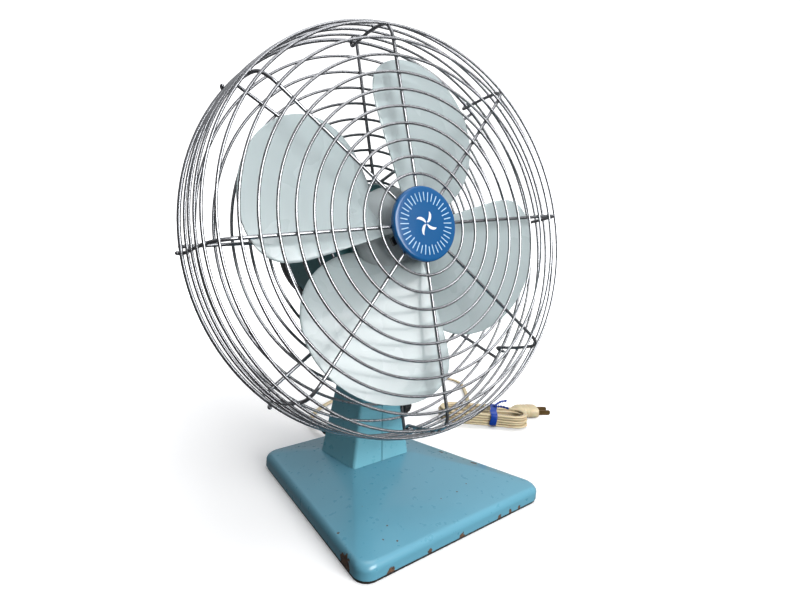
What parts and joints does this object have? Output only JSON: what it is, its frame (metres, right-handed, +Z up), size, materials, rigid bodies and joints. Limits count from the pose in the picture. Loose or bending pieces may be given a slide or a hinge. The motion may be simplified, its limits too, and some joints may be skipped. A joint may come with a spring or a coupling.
{
  "type": "desk fan",
  "caption": "Oscillating desk fan: tapered neck on a low pressed base, tilting and swivelling motor head, broad round blades in a chrome wire guard, cord tied in a hank.",
  "frame": {"origin": "centre of the base's plan on the surface the fan stands on, the underside of the base pad", "axes": "+Z up, -Y the way the fan's base faces, +X to the right of someone who looks along +Y"},
  "size_m": [0.4961, 0.3416, 0.4204],
  "materials": {
    "base_blue": "gloss",
    "motor_teal": "gloss",
    "black_plastic": "satin",
    "chrome_wire": "polished",
    "blade_mint": "gloss",
    "badge_blue": "gloss",
    "zinc_steel": "satin",
    "lamination_steel": "matte",
    "copper_winding": "satin",
    "bearing_bronze": "satin",
    "plug_brass": "worn",
    "foot_rubber": "matte",
    "base_fibreboard": "matte",
    "cord_ivory": "satin",
    "tie_blue": "gloss"
  },
  "bodies": {
    "base": {"base_shell": "base_blue", "base_plate": "base_fibreboard", "base_pad": "foot_rubber", "plate_screw_1": "zinc_steel", "plate_screw_2": "zinc_steel", "neck_left": "base_blue", "neck_right": "base_blue", "neck_tie_rod": "zinc_steel", "neck_washer": "zinc_steel", "neck_nut": "zinc_steel", "neck_cap": "base_blue", "speed_switch": "black_plastic", "switch_nut": "zinc_steel", "tilt_bolt": "zinc_steel", "tilt_washer": "zinc_steel", "cord_relief": "black_plastic", "cord_lead": "cord_ivory", "cord_hank": "cord_ivory", "cord_tie": "tie_blue", "cord_tail": "cord_ivory", "plug_body": "cord_ivory", "plug_blade_1": "plug_brass", "plug_blade_2": "plug_brass"},
    "speed_dial": {"speed_knob": "black_plastic"},
    "tilt_clamp": {"tilt_knob": "black_plastic"},
    "yoke": {"tilt_yoke": "motor_teal"},
    "drive_link": {"osc_link": "zinc_steel"},
    "head": {"motor_bell": "motor_teal", "motor_cap": "black_plastic", "stator_core": "lamination_steel", "stator_coil_front": "copper_winding", "stator_coil_rear": "copper_winding", "end_bracket": "zinc_steel", "bearing_front": "bearing_bronze", "bearing_rear": "bearing_bronze", "front_guard": "chrome_wire", "rear_guard": "chrome_wire", "guard_screw_1": "zinc_steel", "guard_screw_2": "zinc_steel", "guard_screw_3": "zinc_steel", "guard_screw_4": "zinc_steel", "badge": "badge_blue", "badge_bar": "black_plastic", "badge_screw": "zinc_steel"},
    "drive_crank": {"osc_crank": "zinc_steel"},
    "clutch_knob": {"osc_knob": "black_plastic"},
    "rotor": {"motor_shaft": "zinc_steel", "rotor_core": "lamination_steel", "fan_wheel": "blade_mint", "hub_set_screw": "zinc_steel"}
  },
  "joints": [
    {"name": "head_tilt", "type": "hinge", "parent": "base", "child": "yoke", "pos_m": [0, 0.0292, 0.1585], "axis": [-1, 0, 0], "range_deg": [-6, 20]},
    {"name": "head_swivel", "type": "hinge", "parent": "yoke", "child": "head", "pos_m": [0, 0.04837, 0.23173], "axis": [0, 0.2533, 0.9674], "range_deg": [-22.2, 37.8]},
    {"name": "blade_spin", "type": "hinge", "parent": "head", "child": "rotor", "pos_m": [0, 0.04837, 0.23173], "axis": [0.1359, 0.9584, -0.2509], "continuous": true},
    {"name": "crank_turn", "type": "hinge", "parent": "head", "child": "drive_crank", "pos_m": [0.00924, 0.09784, 0.15469], "axis": [0, 0.2533, 0.9674], "range_deg": [-95, 60]},
    {"name": "link_swing", "type": "hinge", "parent": "yoke", "child": "drive_link", "pos_m": [-0.018, 0.04661, 0.15394], "axis": [0, 0.2533, 0.9674], "range_deg": [-35, 48]},
    {"name": "clutch_pull", "type": "slide", "parent": "head", "child": "clutch_knob", "axis": [0, 0.2533, 0.9674], "range_m": [0, 0.005]},
    {"name": "speed_turn", "type": "hinge", "parent": "base", "child": "speed_dial", "pos_m": [0.034, 0.024, 0.07], "axis": [-1, 0, 0], "range_deg": [0, 180]},
    {"name": "tilt_clamp_turn", "type": "hinge", "parent": "base", "child": "tilt_clamp", "pos_m": [0, 0.0292, 0.1585], "axis": [1, 0, 0], "range_deg": [0, 180]}
  ],
  "couplings": [
    {"joint": "crank_turn", "follows": "head_swivel", "ratio": -2.1},
    {"joint": "link_swing", "follows": "head_swivel", "ratio": 1.17}
  ]
}
